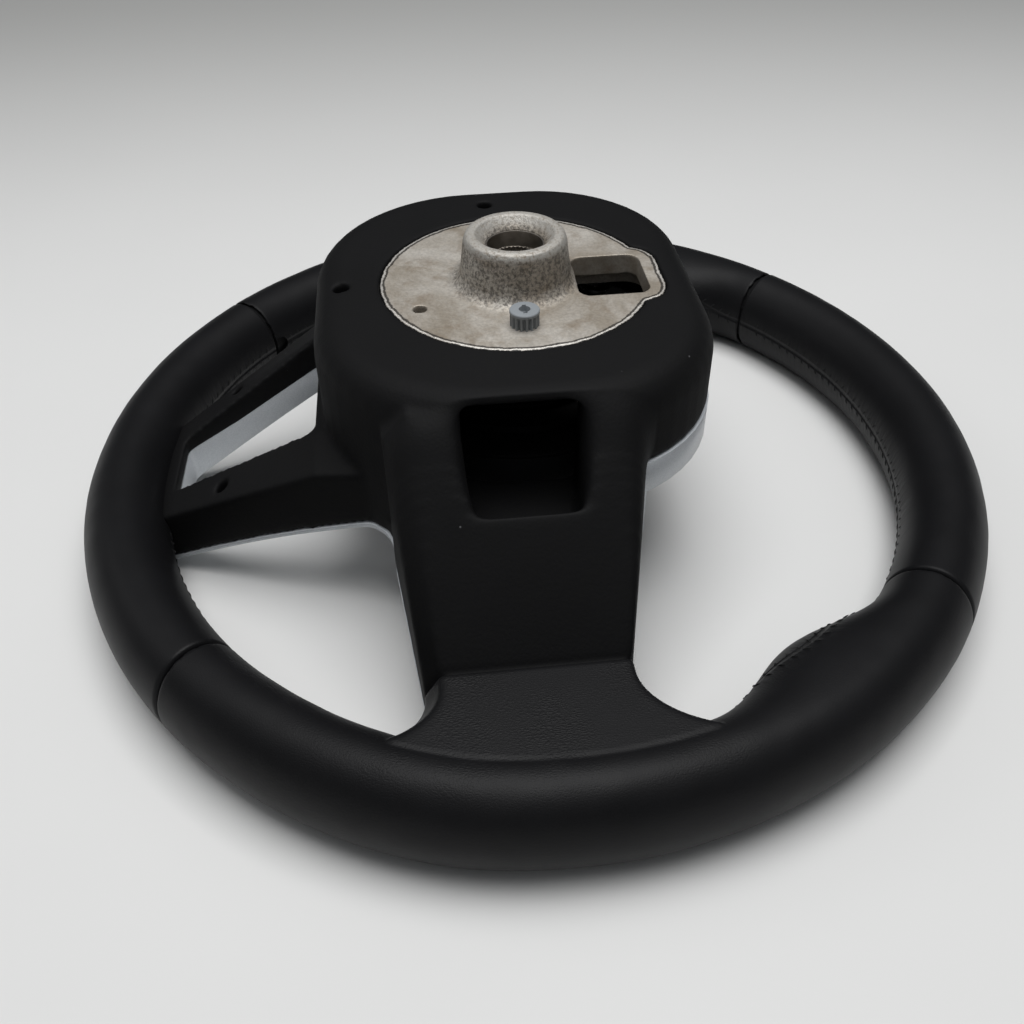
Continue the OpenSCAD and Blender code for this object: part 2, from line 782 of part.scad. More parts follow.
module airbag_can() {
    color("#8b8f93") placed() rotate_extrude() polygon([
        [can_r, can_front], [can_r, pad_back], [pad_r, pad_back], [pad_r, pad_back + can_t], [can_r, pad_back + can_t],
        [can_r, can_back], [inflator_r + 0.2, can_back], [inflator_r + 0.2, can_back - can_t],
        [can_r - can_t, can_back - can_t], [can_r - can_t, can_front]
    ]);
}

module airbag_cushion() {
    color("#d9d7d0") placed() difference() {
        translate([0, 0, can_front + 2]) cylinder(h = can_back - can_t - can_front - 2.1, r = can_r - can_t - 0.2);
        translate([0, 0, gas_front - 0.2]) cylinder(h = gas_back, r = inflator_r + 0.2);
    }
}

module inflator() {
    color("#9a9ea1") placed() rotate_extrude() polygon([
        [0, gas_front], [inflator_r - 2, gas_front], [inflator_r, gas_front + 2], [inflator_r, can_back],
        [flange_r, can_back], [flange_r, can_back + 2], [inflator_r, can_back + 2],
        [inflator_r, gas_back - 2], [inflator_r - 2, gas_back], [0, gas_back]
    ]);
}

module guide_pins() {
    color("#c2c5c8") placed() for (a = spring_angles) rotate([0, 0, a]) translate([spring_at, 0, 0]) {
        translate([0, 0, pad_back + can_t]) cylinder(h = shoulder_h - pad_back - can_t - 1, r = 4.4);
        translate([0, 0, shoulder_h - 1.5]) cylinder(h = 1.5, r = shoulder_r);
        translate([0, 0, shoulder_h - 1]) cylinder(h = pin_top - shoulder_h + 1, r = pin_r);
    }
}

// Coil of round wire between two heights
module coil(low, high) {
    steps = 8 * spring_turns;
    sides = 5;
    run = high - low - wire_d;
    points = [
        for (i = [0:steps], k = [0:sides - 1])
            let (a = i * 360 * spring_turns / steps, r = coil_r + wire_d / 2 * cos(k * 360 / sides))
            [r * cos(a), r * sin(a), low + wire_d / 2 + run * i / steps + wire_d / 2 * sin(k * 360 / sides)]
    ];
    walls = [
        for (i = [0:steps - 1], k = [0:sides - 1])
            let (n = (k + 1) % sides) [i * sides + k, i * sides + n, (i + 1) * sides + n, (i + 1) * sides + k]
    ];
    polyhedron(points, concat(
        [[for (k = [0:sides - 1]) sides - 1 - k]], walls, [[for (k = [0:sides - 1]) steps * sides + k]]
    ));
}

module horn_springs() {
    color("#a7abb0") placed() for (a = spring_angles) rotate([0, 0, a])
        translate([spring_at, 0, 0]) coil(shoulder_h, plate_low);
}

// Switch pod on the +X spoke, open to the front, with a round pin for its rocker
module pod() {
    on_pod() {
        difference() {
            translate([0, 0, -pod_lip]) linear_extrude(pod_d + pod_lip) pod_plan(0);
            translate([0, 0, -far]) linear_extrude(far + pod_d - pod_floor) pod_plan(pod_frame);
        }
        translate([rocker_x, 0, key_low]) rotate([0, 90, 0]) cylinder(h = 10, r = rocker_pin, center = true, $fn = 48);
        translate([rocker_x - 5, -0.8, key_low]) cube([10, 1.6, pod_d - pod_floor - key_low + 0.5]);
    }
}

// Key cap with a soft front edge, from its front down to key_low
module cap(top) {
    translate([0, 0, top + 0.5]) linear_extrude(key_low - top - 0.5) children();
    translate([0, 0, top]) linear_extrude(0.6) offset(delta = -0.5) children();
}

// Rectangle with rounded corners between two points
module soft_rect(low, high, r) {
    translate(low + [r, r]) offset(r = r, $fn = 24) square(high - low - [2 * r, 2 * r]);
}

// Touch pad of a pod
module touch_pad() {
    on_pod() difference() {
        cap(key_top) soft_rect([-key_x, -mid_y], [split_x, mid_y], 2.5);
        translate([(split_x - key_x) / 2, 0, key_top - 1]) cylinder(h = 1.4, r = 8);
    }
}

// Rocker of a pod, which rocks on the pod's pin
module rocker() {
    on_pod() difference() {
        cap(key_top) soft_rect([split_x + 2 * gap + 0.4, -mid_y + 0.7], [key_x, mid_y - 0.7], 2.5);
        translate([split_x, -1, key_top - 1]) cube([far, 2, 1.5]);
        translate([rocker_x, 0, key_low]) rotate([0, 90, 0]) cylinder(h = 12, r = rocker_pin + 0.1, center = true, $fn = 48);
    }
}

// Long key of a pod, on the side given by s
module long_key(s) {
    on_pod() mirror([0, (1 - s) / 2, 0]) cap(key_top) soft_rect([-key_x, mid_y + 2 * gap], [key_x, key_y], 3.2);
}

module pod_left() {
    color("#26272a") placed() pod();
}

module pod_right() {
    color("#26272a") placed() mirror([1, 0, 0]) pod();
}

module touch_pad_left() {
    color("#141416") placed() touch_pad();
}

module rocker_left() {
    color("#303236") placed() rocker();
}

module upper_key_left() {
    color("#303236") placed() long_key(1);
}

module lower_key_left() {
    color("#303236") placed() long_key(-1);
}

module touch_pad_right() {
    color("#141416") placed() mirror([1, 0, 0]) touch_pad();
}

module rocker_right() {
    color("#303236") placed() mirror([1, 0, 0]) rocker();
}

module upper_key_right() {
    color("#303236") placed() mirror([1, 0, 0]) long_key(1);
}

module lower_key_right() {
    color("#303236") placed() mirror([1, 0, 0]) long_key(-1);
}

armature();
rim_core();
splined_insert();
foam_body();
rim_foam();
leather_top();
leather_bottom();
leather_left();
leather_right();
bezel();
bezel_screws();
guide_peg();
horn_pad();
airbag_can();
airbag_cushion();
inflator();
guide_pins();
horn_springs();
pod_left();
pod_right();
touch_pad_left();
rocker_left();
upper_key_left();
lower_key_left();
touch_pad_right();
rocker_right();
upper_key_right();
lower_key_right();
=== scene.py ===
"""Leather-covered car steering wheel, lying face down on a pale floor, seen from the column side."""
import math
import bmesh
import bpy
from mathutils import Matrix, Vector, noise
from mathutils.bvhtree import BVHTree
from mathutils.kdtree import KDTree


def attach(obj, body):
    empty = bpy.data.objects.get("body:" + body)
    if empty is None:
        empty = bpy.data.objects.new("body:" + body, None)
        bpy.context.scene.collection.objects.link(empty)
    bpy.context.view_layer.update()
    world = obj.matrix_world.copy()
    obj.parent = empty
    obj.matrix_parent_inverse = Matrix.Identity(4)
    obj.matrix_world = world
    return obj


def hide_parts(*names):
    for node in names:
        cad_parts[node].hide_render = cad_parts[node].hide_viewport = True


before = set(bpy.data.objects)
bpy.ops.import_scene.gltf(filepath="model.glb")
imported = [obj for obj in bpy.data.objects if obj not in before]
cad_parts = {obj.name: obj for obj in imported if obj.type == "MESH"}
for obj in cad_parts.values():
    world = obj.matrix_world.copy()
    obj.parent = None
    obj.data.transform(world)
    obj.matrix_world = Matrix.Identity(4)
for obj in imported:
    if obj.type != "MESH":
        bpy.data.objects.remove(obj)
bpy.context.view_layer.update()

MM = 0.001
DATUM = 113.5          # height of the origin, in the pilot bore, above the front of the rim
FLOOR = -DATUM * MM

# Sizes of the rim, in millimetres, as the casting and the foam have them
RIM_C, GRIP_W, GRIP_D = 169.15, 31.7, 38.6
CORNER_R, FLAT_A = 130.0, -5.0
LOW_Y = RIM_C - 12.0
CORNER_X = (RIM_C - CORNER_R) * math.cos(math.radians(FLAT_A))
CORNER_Y = (RIM_C - CORNER_R) * math.sin(math.radians(FLAT_A))
LOW_C = ((RIM_C - CORNER_R) ** 2 - (LOW_Y - CORNER_R) ** 2) / (2 * (LOW_Y - CORNER_R + CORNER_Y))
LOW_R = LOW_C + LOW_Y
LOW_A = math.degrees(math.atan2(CORNER_Y - LOW_C, CORNER_X))
UPPER_SEAM, LOWER_SEAM = 38.0, 39.0       # directions of the seams, from twelve and six o'clock
SIDE_SPAN = (LOWER_SEAM - 89.84, 89.84 - UPPER_SEAM)
THUMB_AT, THUMB_OUT, THUMB_SPAN = 57.0, 12.0, 17.0    # degrees from twelve o'clock, swelling, half span in degrees

# Leather's run into the side spokes, in millimetres: its start, its centre line and how far it flares to each side
LEATHER_FROM, SPOKE_H, CHAMFER, SPOKE_C, ROOT_FLARE = 128.0, 38.0, 9.0, -6.0, 38.0
ROOT_WIDE = (38.0, 29.0)                  # from the centre line to the flanks, towards -Y and +Y
ROOT_SLIM = (32.5, 28.5)                  # and to the edges of the flat back
DISH_R, DISH_H, DISH_A = 142.0, 6.0, 30.5    # cone on which the spokes' front lies

# Bare disc of the casting, and the window for the cables in it
DISC_R = 49.5
WINDOW_AT, WINDOW_HALF, WINDOW_RIM = (2.0, 34.5), (9.5, 8.0), 11.0
LIP_H = (117.5, 119.5)                    # heights between which the boss turns into its worn lip

# Seams: pitch of the stitches, distance of their two rows from the seam, and half length and radius of a stitch
STITCH, ROW_OFF, STITCH_LONG, STITCH_THICK = 5, 2.0, 1.9, 0.3
SLANT = (0.86, -0.51)                     # way of a stitch, across the seam and along it

# Arms of the side spokes where they leave the casing: how far out, from what height up and how often smoothed
ARM_FROM, ARM_TOP = 74, 104
ARM_ZONES = ((108, 44, 10), (103, 49, 14), (98, 54, 18), (94, 59, 26), (91, 64, 36), (88, 69, 44))

WORLD_LEVEL, OVERHEAD_WATTS, SIDE_WATTS = 0.45, 16.5, 2.0

# The photograph's camera: place in millimetres above the rim's front, view, roll and focal length in pixels
EYE, AHEAD, ROLL = (338.09, -35.06, 286.90), (-0.7486, 0.0715, -0.6591), -0.018
FOCAL, PICTURE, SENSOR = 1030, 1024, 36.0


def linear(code):
    """An sRGB hex colour as linear light."""
    parts = [int(code[i:i + 2], 16) / 255 for i in (1, 3, 5)]
    return tuple(c / 12.92 if c <= 0.04045 else ((c + 0.055) / 1.055) ** 2.4 for c in parts) + (1.0,)


def add(tree, kind, inputs=None, **settings):
    """Adds a node: inputs are values or outputs to link, settings are the node's own properties."""
    made = tree.nodes.new(kind)
    for key, value in settings.items():
        setattr(made, key, value)
    for key, value in (inputs or {}).items():
        if isinstance(value, bpy.types.NodeSocket):
            tree.links.new(value, made.inputs[key])
        else:
            made.inputs[key].default_value = value
    return made


def sums(tree, operation, *values):
    """Result of a math node on values or outputs."""
    return add(tree, "ShaderNodeMath", dict(enumerate(values)), operation=operation).outputs[0]


def blended(tree, factor, first, second):
    """Colour between two colours or outputs."""
    return add(tree, "ShaderNodeMix", {0: factor, 6: first, 7: second}, data_type="RGBA").outputs[2]


def between(tree, value, low, high):
    """0 below low, 1 above high, smooth between."""
    return add(tree, "ShaderNodeMapRange", {0: value, 1: low, 2: high}, interpolation_type="SMOOTHSTEP").outputs[0]


def noise_at(tree, place, size, detail=3.0, rough=0.5, distort=0.0):
    """Noise whose spots are about size millimetres across."""
    return add(tree, "ShaderNodeTexNoise", {
        "Vector": place, "Scale": 500.0 / size, "Detail": detail, "Roughness": rough, "Distortion": distort,
    }).outputs["Fac"]


def finish(name, roughness, metallic=0.0, **sockets):
    """A new material: its tree, its shader and its place on the object."""
    made = bpy.data.materials.new(name)
    made.use_nodes = True
    tree = made.node_tree
    shader = tree.nodes["Principled BSDF"]
    shader.inputs["Roughness"].default_value = roughness
    shader.inputs["Metallic"].default_value = metallic
    for key, value in sockets.items():
        shader.inputs[key.replace("_", " ")].default_value = value
    return made, tree, shader, add(tree, "ShaderNodeTexCoord").outputs["Object"]


def raise_by(tree, shader, height, depth, onto=None):
    """Bump of a height from 0 to 1, depth millimetres deep."""
    inputs = {"Height": height, "Distance": depth * MM, "Strength": 1.0}
    if onto is not None:
        inputs["Normal"] = onto
    made = add(tree, "ShaderNodeBump", inputs).outputs[0]
    tree.links.new(made, shader.inputs["Normal"])
    return made


def value_of(tree, name):
    """A value painted on the mesh."""
    return add(tree, "ShaderNodeAttribute", attribute_name=name).outputs["Fac"]


def edges_of_cells(tree, place, scale):
    """Distance to the nearest edge of a pattern of cells."""
    cells = {"Vector": place, "Scale": scale}
    return add(tree, "ShaderNodeTexVoronoi", cells, feature="DISTANCE_TO_EDGE").outputs[0]


def nappa_leather():
    """Chrome-tanned, black pigmented nappa: satin, almost smooth, creased where it is pulled over the spoke."""
    made, tree, shader, place = finish("nappa_leather", 0.46, Specular_IOR_Level=0.16)
    tone = noise_at(tree, place, 18.0, 4.0, 0.6)
    tree.links.new(blended(tree, tone, linear("#0e0e0f"), linear("#151517")), shader.inputs["Base Color"])
    dull = sums(tree, "MULTIPLY_ADD", noise_at(tree, place, 9.0), 0.12, 0.41)
    tree.links.new(dull, shader.inputs["Roughness"])
    # Pores of about 0.8 mm, drawn a little coarser than real ones so that they show
    pores = edges_of_cells(tree, place, 1200.0)
    step = raise_by(tree, shader, between(tree, pores, 0.0, 0.25), 0.015)
    # Creases across the run into the spoke, about 1 by 2 mm, and a pebble grain between them
    bent = add(tree, "ShaderNodeTexNoise", {"Vector": place, "Scale": 150.0, "Detail": 3.0}).outputs["Color"]
    drawn = add(tree, "ShaderNodeMapping", {"Vector": place, "Scale": (1150.0, 540.0, 800.0)}).outputs[0]
    drawn = add(
        tree, "ShaderNodeVectorMath", {0: bent, 1: (2.2, 2.2, 2.2), 2: drawn}, operation="MULTIPLY_ADD").outputs[0]
    folds = edges_of_cells(tree, drawn, 1.0)
    patchy = between(tree, noise_at(tree, place, 14.0, 2.0), 0.3, 0.65)
    patchy = sums(tree, "MULTIPLY", patchy, value_of(tree, "crease"))
    folds = sums(tree, "MULTIPLY", between(tree, folds, 0.0, 0.35), patchy)
    step = raise_by(tree, shader, folds, 0.07, step)
    # Puckers that run away from the seam, and the seam's own groove
    off = value_of(tree, "seam_off")
    along = value_of(tree, "seam_along")
    strip = add(tree, "ShaderNodeCombineXYZ", {0: along, 1: sums(tree, "MULTIPLY", off, 0.22)}).outputs[0]
    pucker = add(tree, "ShaderNodeTexNoise", {"Vector": strip, "Scale": 0.5, "Detail": 2.0}).outputs["Fac"]
    fade = sums(tree, "EXPONENT", sums(tree, "MULTIPLY", off, -0.2))
    fade = sums(tree, "MULTIPLY", fade, sums(tree, "SUBTRACT", 1.0, between(tree, off, 8.0, 15.0)))
    step = raise_by(tree, shader, sums(tree, "MULTIPLY", pucker, fade), 0.6, step)
    raise_by(tree, shader, between(tree, off, 0.1, 1.5), 0.7, step)
    return made


def stitching_thread():
    """Bonded polyester thread, black and dull."""
    made, tree, shader, place = finish("stitching_thread", 0.6, Specular_IOR_Level=0.3)
    tone = blended(tree, noise_at(tree, place, 1.2), linear("#060607"), linear("#101112"))
    tree.links.new(tone, shader.inputs["Base Color"])
    return made


def foamed_skin():
    """Integral-skin polyurethane foam, black, moulded in a finely etched mould: dull, with dust in its grain."""
    made, tree, shader, place = finish("foamed_skin", 0.68, Specular_IOR_Level=0.15)
    tone = blended(tree, noise_at(tree, place, 25.0, 4.0, 0.6), linear("#09090a"), linear("#0f0f10"))
    # Dust specks of a few tenths of a millimetre
    specks = add(tree, "ShaderNodeTexVoronoi", {"Vector": place, "Scale": 210.0})
    drawn = add(tree, "ShaderNodeSeparateColor", {0: specks.outputs["Color"]}).outputs[0]
    few = between(tree, drawn, 0.93, 0.97)
    small = sums(tree, "SUBTRACT", 1.0, between(tree, specks.outputs["Distance"], 0.03, 0.09))
    dust = sums(tree, "MULTIPLY", few, small)
    tree.links.new(blended(tree, dust, tone, linear("#5a5a5c")), shader.inputs["Base Color"])
    # Etched grain of 0.6 mm
    step = raise_by(tree, shader, noise_at(tree, place, 0.6, 2.0, 0.6), 0.11)
    raise_by(tree, shader, noise_at(tree, place, 14.0, 2.0), 0.3, step)
    return made


def band(tree, value, low, high):
    """1 between low and high, 0 outside, with soft ends."""
    soft = 0.2
    rise = between(tree, value, low - soft, low + soft)
    return sums(tree, "MULTIPLY", rise, sums(tree, "SUBTRACT", 1.0, between(tree, value, high - soft, high + soft)))


def die_cast_magnesium():
    """Die-cast light alloy, raw: pale warm grey, clouded brown by the release agent, and rough as sand on the boss."""
    made, tree, shader, place = finish("die_cast_magnesium", 0.52, 0.5)
    cloud = noise_at(tree, place, 18.0, 6.0, 0.68, 0.5)
    tone = blended(tree, between(tree, cloud, 0.34, 0.66), linear("#a0978a"), linear("#cac5bd"))
    spots = noise_at(tree, place, 5.0, 5.0, 0.65, 0.3)
    stain = sums(tree, "MULTIPLY", between(tree, spots, 0.48, 0.72), 0.5)
    tone = blended(tree, stain, tone, linear("#85745f"))
    # Specks of 0.4 mm, faint on the plate and close and dark on the boss
    sand = noise_at(tree, place, 0.6, 4.0, 0.7)
    rough = value_of(tree, "boss")
    deep = sums(tree, "MULTIPLY_ADD", rough, 0.55, 0.22)
    deep = sums(tree, "MULTIPLY", deep, sums(tree, "MULTIPLY_ADD", value_of(tree, "lip"), -0.6, 1.0))
    pit = sums(tree, "MULTIPLY", sums(tree, "SUBTRACT", 1.0, between(tree, sand, 0.36, 0.62)), deep)
    tone = blended(tree, pit, tone, linear("#2b2723"))
    # Worn lip of the boss: pale, with fine specks left in it
    worn = sums(tree, "MULTIPLY", value_of(tree, "lip"), between(tree, sand, 0.34, 0.56))
    tone = blended(tree, worn, tone, linear("#b4b1ab"))
    # Along the foam's edge, all ragged: a film of foam, a bright line, and a groove darkened with painted shade
    ragged = sums(tree, "SUBTRACT", noise_at(tree, place, 3.0, 5.0, 0.75), 0.5)
    torn = sums(tree, "MULTIPLY_ADD", ragged, 2.6, value_of(tree, "edge"))
    # Painted shade: a dark band 1.2 to 2.1 mm in from the foam's edge, for the groove
    tone = blended(tree, sums(tree, "MULTIPLY", band(tree, torn, 1.2, 2.1), 0.9), tone, linear("#2f2c29"))
    tone = blended(tree, sums(tree, "MULTIPLY", band(tree, torn, 0.5, 1.1), 0.75), tone, linear("#dad7d2"))
    film = sums(tree, "SUBTRACT", 1.0, between(tree, torn, 0.3, 0.5))
    tree.links.new(blended(tree, film, tone, linear("#101011")), shader.inputs["Base Color"])
    bare = sums(tree, "SUBTRACT", 1.0, sums(tree, "MAXIMUM", film, pit))
    tree.links.new(sums(tree, "MULTIPLY", bare, 0.5), shader.inputs["Metallic"])
    step = raise_by(tree, shader, sand, 0.10)
    step = raise_by(tree, shader, sums(tree, "MULTIPLY", sand, rough), 0.22, step)
    step = raise_by(tree, shader, between(tree, torn, 0.4, 1.6), 0.35, step)
    raise_by(tree, shader, noise_at(tree, place, 8.0, 3.0), 0.4, step)
    return made


def plain_metal(name, dark, light, roughness, size, depth=0.02):
    """A bare metal with fine marks of size millimetres."""
    made, tree, shader, place = finish(name, roughness, 1.0)
    marks = noise_at(tree, place, size, 4.0, 0.6)
    tree.links.new(blended(tree, marks, linear(dark), linear(light)), shader.inputs["Base Color"])
    tree.links.new(sums(tree, "MULTIPLY_ADD", marks, 0.2, roughness - 0.1), shader.inputs["Roughness"])
    raise_by(tree, shader, marks, depth)
    return made


def grained(name, dark, light, roughness, grain, depth):
    """A plastic or a coating with a grain of that many millimetres."""
    made, tree, shader, place = finish(name, roughness, Specular_IOR_Level=0.35)
    tone = blended(tree, noise_at(tree, place, 12.0, 4.0), linear(dark), linear(light))
    tree.links.new(tone, shader.inputs["Base Color"])
    raise_by(tree, shader, noise_at(tree, place, grain, 3.0, 0.6), depth)
    return made


def silver_paint():
    """Satin silver lacquer on plastic: fine flakes under a clear coat."""
    made, tree, shader, place = finish("silver_paint", 0.38, 0.2, Coat_Weight=0.3, Coat_Roughness=0.2)
    flakes = add(tree, "ShaderNodeTexVoronoi", {"Vector": place, "Scale": 3000.0}).outputs["Color"]
    flakes = add(tree, "ShaderNodeSeparateColor", {0: flakes}).outputs[0]
    tree.links.new(blended(tree, flakes, linear("#c4c9ce"), linear("#d3d7db")), shader.inputs["Base Color"])
    raise_by(tree, shader, noise_at(tree, place, 3.0, 2.0), 0.01)
    return made


def woven_nylon():
    """Uncoated nylon cloth, pale, with threads of 0.5 mm."""
    made, tree, shader, place = finish("woven_nylon", 0.8)
    warp = add(tree, "ShaderNodeTexWave", {"Vector": place, "Scale": 320.0}).outputs["Fac"]
    weft = add(tree, "ShaderNodeTexWave", {"Vector": place, "Scale": 320.0}, bands_direction="Y").outputs["Fac"]
    weave = sums(tree, "MULTIPLY", warp, weft)
    tree.links.new(blended(tree, weave, linear("#c4c1b8"), linear("#e2e0d9")), shader.inputs["Base Color"])
    raise_by(tree, shader, weave, 0.1)
    return made


LEATHER = nappa_leather()
THREAD = stitching_thread()
FOAM = foamed_skin()
CASTING = die_cast_magnesium()
TRIM = silver_paint()


def smoothed(mesh, angle=35.0):
    """Smooth shading, with edges sharper than angle kept."""
    for p in mesh.polygons:
        p.use_smooth = True
    bm = bmesh.new()
    bm.from_mesh(mesh)
    for e in bm.edges:
        e.smooth = not (e.is_manifold and e.calc_face_angle(0.0) > math.radians(angle))
    bm.to_mesh(mesh)
    bm.free()


def shown(name, mesh, material, body, nodes):
    """Makes the finished object of a piece, on its body, in place of its CAD nodes."""
    mesh.materials.clear()
    mesh.materials.append(material)
    made = bpy.data.objects.new(name, mesh)
    bpy.context.scene.collection.objects.link(made)
    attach(made, body)
    if nodes:
        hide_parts(*nodes)


def cad_copy(node):
    """The CAD node's triangles, merged into one skin."""
    bm = bmesh.new()
    bm.from_mesh(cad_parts[node].data)
    bmesh.ops.remove_doubles(bm, verts=bm.verts, dist=0.015 * MM)
    return bm


def through(bm, *steps):
    """Runs a bmesh through modifiers, each a kind and its settings, and gives the mesh that comes out."""
    mesh = bpy.data.meshes.new("work")
    bm.to_mesh(mesh)
    bm.free()
    work = bpy.data.objects.new("work", mesh)
    bpy.context.scene.collection.objects.link(work)
    for kind, settings in steps:
        step = work.modifiers.new(kind.lower(), kind)
        for key, value in settings.items():
            setattr(step, key, value)
    bpy.context.view_layer.update()
    made = bpy.data.meshes.new_from_object(work.evaluated_get(bpy.context.evaluated_depsgraph_get()))
    bpy.data.objects.remove(work)
    bpy.data.meshes.remove(mesh)
    return made


def cutter(bm):
    """A helper solid that is removed after its cut."""
    mesh = bpy.data.meshes.new("cutter")
    bm.to_mesh(mesh)
    bm.free()
    made = bpy.data.objects.new("cutter", mesh)
    bpy.context.scene.collection.objects.link(made)
    return made


def paint(mesh, name, values):
    """Puts a value on each of the mesh's points."""
    layer = mesh.attributes.new(name, "FLOAT", "POINT")
    layer.data.foreach_set("value", values)


def smoothstep(low, high, value):
    """0 below low, 1 above high, smooth between."""
    t = min(1.0, max(0.0, (value - low) / (high - low)))
    return t * t * (3 - 2 * t)


# Rim: path, thumb rests and section

def arc_of(direction):
    """Centre and radius of the rim's arc at an outward direction, in degrees from -90 to 270."""
    if direction < LOW_A or direction > 180 - LOW_A:
        return Vector((0, LOW_C)), LOW_R
    if direction < FLAT_A:
        return Vector((CORNER_X, CORNER_Y)), CORNER_R
    if direction > 180 - FLAT_A:
        return Vector((-CORNER_X, CORNER_Y)), CORNER_R
    return Vector((0, 0)), RIM_C


def outward(direction):
    """The way out of the rim at a direction."""
    return Vector((math.cos(math.radians(direction)), math.sin(math.radians(direction))))


def rim_at(direction):
    """Centre of the grip's section at a direction."""
    centre, radius = arc_of(direction)
    return centre + radius * outward(direction)


def direction_of(x, y):
    """Outward direction of the rim's nearest section, from -90 to 270."""
    side = 1 if x >= 0 else -1
    x = abs(x)
    found = math.degrees(math.atan2(y, x))
    if found < FLAT_A:
        found = math.degrees(math.atan2(y - CORNER_Y, x - CORNER_X))
    if found < LOW_A:
        found = math.degrees(math.atan2(y - LOW_C, x))
    return found if side > 0 else 180 - found


def thumb(direction):
    """Share of the thumb rest's swelling at a direction."""
    off = min(abs(direction - 90 + THUMB_AT), abs(direction - 90 - THUMB_AT)) / THUMB_SPAN
    return math.cos(math.radians(90 * off)) ** 2 if off < 1 else 0.0


def section_point(direction, turn, inset=0.0, swelling=THUMB_OUT):
    """Point of the grip at a direction and a turn round its section, in millimetres: 90 is the back, 180 the inside."""
    c, s = math.cos(math.radians(turn)), math.sin(math.radians(turn))
    across = (GRIP_W / 2 - inset + (swelling * thumb(direction) if c < 0 else 0)) * c
    at = rim_at(direction) + across * outward(direction)
    return Vector((at.x, at.y, GRIP_D / 2 + (GRIP_D / 2 - inset) * s))


def turn_of(point, direction):
    """Turn round the plain oval at which a point lies."""
    across = (Vector((point.x, point.y)) - rim_at(direction)).dot(outward(direction))
    return math.degrees(math.atan2((point.z - GRIP_D / 2) / (GRIP_D / 2), across / (GRIP_W / 2)))


def seam_turn(direction):
    """The seam lies on the inside, and on the back of the thumb rests."""
    return 180 - 45 * thumb(direction)


def grip_spun(bm, start, stop):
    """Spins the grip's oval along the rim between two directions, with closed ends."""
    out = outward(start)
    turned = Matrix(((out.x, 0, out.y), (out.y, 0, -out.x), (0, 1, 0))).to_4x4()
    centre = rim_at(start)
    oval = Matrix.Diagonal((GRIP_W / 2, GRIP_D / 2, 1, 1))
    place = Matrix.Translation((centre.x, centre.y, GRIP_D / 2)) @ turned @ oval
    ring = bmesh.ops.create_circle(bm, segments=96, radius=1.0, matrix=place)["verts"]
    geom = list({e for v in ring for e in v.link_edges})
    first = geom
    stops = sorted({start, start + 1.4, stop - 1.4, stop} | {d for d in (LOW_A, FLAT_A) if start < d < stop})
    for low, high in zip(stops, stops[1:]):
        arc, radius = arc_of((low + high) / 2)
        length = math.radians(high - low) * radius
        step = 0.45 if high - low < 1.5 else 1.25
        spun = bmesh.ops.spin(
            bm, geom=geom, cent=(arc.x, arc.y, 0), axis=(0, 0, 1), angle=math.radians(high - low),
            steps=max(2, round(length / step)), use_duplicate=False)
        geom = [g for g in spun["geom_last"] if isinstance(g, bmesh.types.BMEdge)]
    bmesh.ops.edgeloop_fill(bm, edges=first)
    bmesh.ops.edgeloop_fill(bm, edges=geom)
    bmesh.ops.recalc_face_normals(bm, faces=bm.faces)


def root_ring(share):
    """Twelve points of the leather's run into the rim, at a share of its length."""
    v = max(0.0, share - 0.1) / 0.9
    flare = ROOT_FLARE * v * v
    wide = (SPOKE_C - ROOT_WIDE[0] - flare, SPOKE_C + ROOT_WIDE[1] + flare)
    slim = (SPOKE_C - ROOT_SLIM[0] - flare + 4 * v, SPOKE_C + ROOT_SLIM[1] + flare - 4 * v)
    side = SPOKE_H - CHAMFER
    top = [(slim[0] + (slim[1] - slim[0]) * k / 4, SPOKE_H) for k in range(5)]
    low = [(wide[1] + (wide[0] - wide[1]) * k / 4, 6 * v) for k in range(5)]
    points = [(wide[0], side)] + top + [(wide[1], side)] + low
    out = [LEATHER_FROM + share * (math.sqrt(RIM_C ** 2 - y ** 2) - 1 - LEATHER_FROM) for y, _ in points]
    return [Vector((x, y, z)) for x, (y, z) in zip(out, points)]


def root_lofted(bm):
    """The leather's run from the spoke into the rim: a face drawn out ring by ring from inside the spoke."""
    ring = root_ring(-0.2)
    verts = bmesh.ops.create_circle(bm, segments=12, radius=1.0, cap_ends=True)["verts"]
    for v, p in zip(verts, ring):
        v.co = p
    face = verts[0].link_faces[0]
    for i in range(1, 13):
        drawn = bmesh.ops.extrude_face_region(bm, geom=[face], use_keep_orig=(i == 1))["geom"]
        face = next(g for g in drawn if isinstance(g, bmesh.types.BMFace))
        ahead = root_ring(i / 12)
        for v in face.verts:
            v.co = ahead[min(range(12), key=lambda k: (ring[k] - v.co).length)]
        ring = ahead
    bmesh.ops.triangulate(bm, faces=[face], ngon_method="BEAUTY")
    bmesh.ops.recalc_face_normals(bm, faces=bm.faces)


def dish(r):
    """Height of the spokes' front at a distance from the bore."""
    return DISH_H + (DISH_R - r) * math.tan(math.radians(DISH_A))


def seam_line(points):
    """A line of points one millimetre apart through points, rounded at its corners."""
    lengths = [0.0]
    for a, b in zip(points, points[1:]):
        lengths.append(lengths[-1] + (b - a).length)
    count = int(lengths[-1])
    line, k = [], 0
    for i in range(count + 1):
        at = lengths[-1] * i / count
        while k < len(points) - 2 and lengths[k + 1] < at:
            k += 1
        share = (at - lengths[k]) / max(1e-6, lengths[k + 1] - lengths[k])
        line.append(points[k].lerp(points[k + 1], share))
    for _ in range(12):
        line = [line[0]] + [(a + 2 * b + c) / 4 for a, b, c in zip(line, line[1:], line[2:])] + [line[-1]]
    return line


